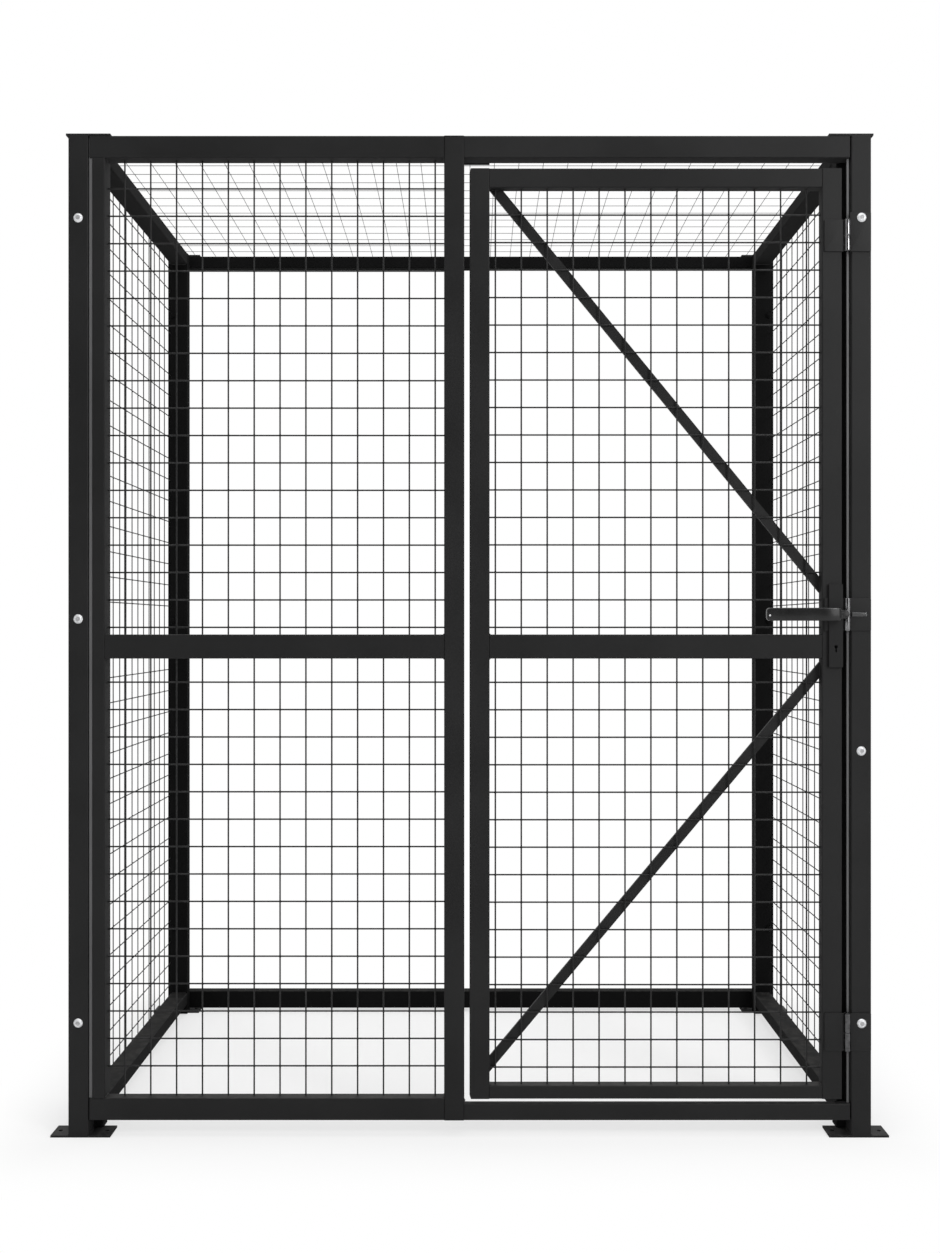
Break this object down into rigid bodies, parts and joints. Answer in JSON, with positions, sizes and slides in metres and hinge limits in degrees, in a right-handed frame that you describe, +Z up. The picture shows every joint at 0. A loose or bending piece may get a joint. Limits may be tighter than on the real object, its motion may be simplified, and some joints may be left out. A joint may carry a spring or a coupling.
{
  "type": "wire mesh partition with door",
  "caption": "Free-standing black steel cage partition: a fixed wire mesh panel beside a braced, hinged mesh door, mesh sides and roof, and an open back.",
  "frame": {"origin": "on the floor, at the middle of the outline in X and Y", "axes": "+Z up, -Y out through the front with the door, +X towards the hinged post"},
  "size_m": [1.671, 0.8905, 2.0003],
  "materials": {
    "frame_black": "black powder coat, satin",
    "wire_black": "black powder coat on welded wire",
    "zinc": "bright zinc plate",
    "handle_black": "smooth black enamel, half gloss"
  },
  "bodies": {
    "cage": {"post_front_left": "frame_black", "post_front_right": "frame_black", "post_rear_left": "frame_black", "post_rear_right": "frame_black", "foot_front_left": "frame_black", "foot_front_right": "frame_black", "foot_rear_left": "frame_black", "foot_rear_right": "frame_black", "cap_front_left": "frame_black", "cap_front_right": "frame_black", "cap_rear_left": "frame_black", "cap_rear_right": "frame_black", "header_left": "frame_black", "header_right": "frame_black", "mullion": "frame_black", "fixed_stile": "frame_black", "fixed_mid_rail": "frame_black", "fixed_bottom_rail": "frame_black", "threshold": "frame_black", "fixed_mesh_upper": "wire_black", "fixed_mesh_lower": "wire_black", "side_left_front_stile": "frame_black", "side_left_rear_stile": "frame_black", "side_left_top_rail": "frame_black", "side_left_bottom_rail": "frame_black", "side_left_mesh": "wire_black", "side_right_front_stile": "frame_black", "side_right_rear_stile": "frame_black", "side_right_top_rail": "frame_black", "side_right_bottom_rail": "frame_black", "side_right_mesh": "wire_black", "rear_top_rail": "frame_black", "rear_bottom_rail": "frame_black", "roof_mesh": "wire_black", "post_bolts": "zinc", "post_nuts": "zinc", "hinge_post_leaves": "frame_black", "hinge_pins": "zinc", "keeper": "handle_black", "head_pad": "frame_black"},
    "door": {"door_free_stile": "frame_black", "door_hinge_stile": "frame_black", "door_top_rail": "frame_black", "door_mid_rail": "frame_black", "door_bottom_rail": "frame_black", "door_brace_upper": "frame_black", "door_brace_lower": "frame_black", "door_mesh_upper": "wire_black", "door_mesh_lower": "wire_black", "hinge_door_leaves": "frame_black", "lock_plate": "handle_black", "lock_case": "zinc"},
    "lever": {"lever_handle": "handle_black", "lever_spindle": "zinc"}
  },
  "joints": [
    {"name": "door_swing", "type": "hinge", "parent": "cage", "child": "door", "pos_m": [0.7509, -0.40375, 1.042], "axis": [0, 0, 1], "range_deg": [0, 90]},
    {"name": "lever_turn", "type": "hinge", "parent": "door", "child": "lever", "pos_m": [0.72805, -0.43025, 1.042], "axis": [0, -1, 0], "range_deg": [0, 45], "stiffness_Nm_per_rad": 1.5, "springref_deg": -20.05}
  ]
}
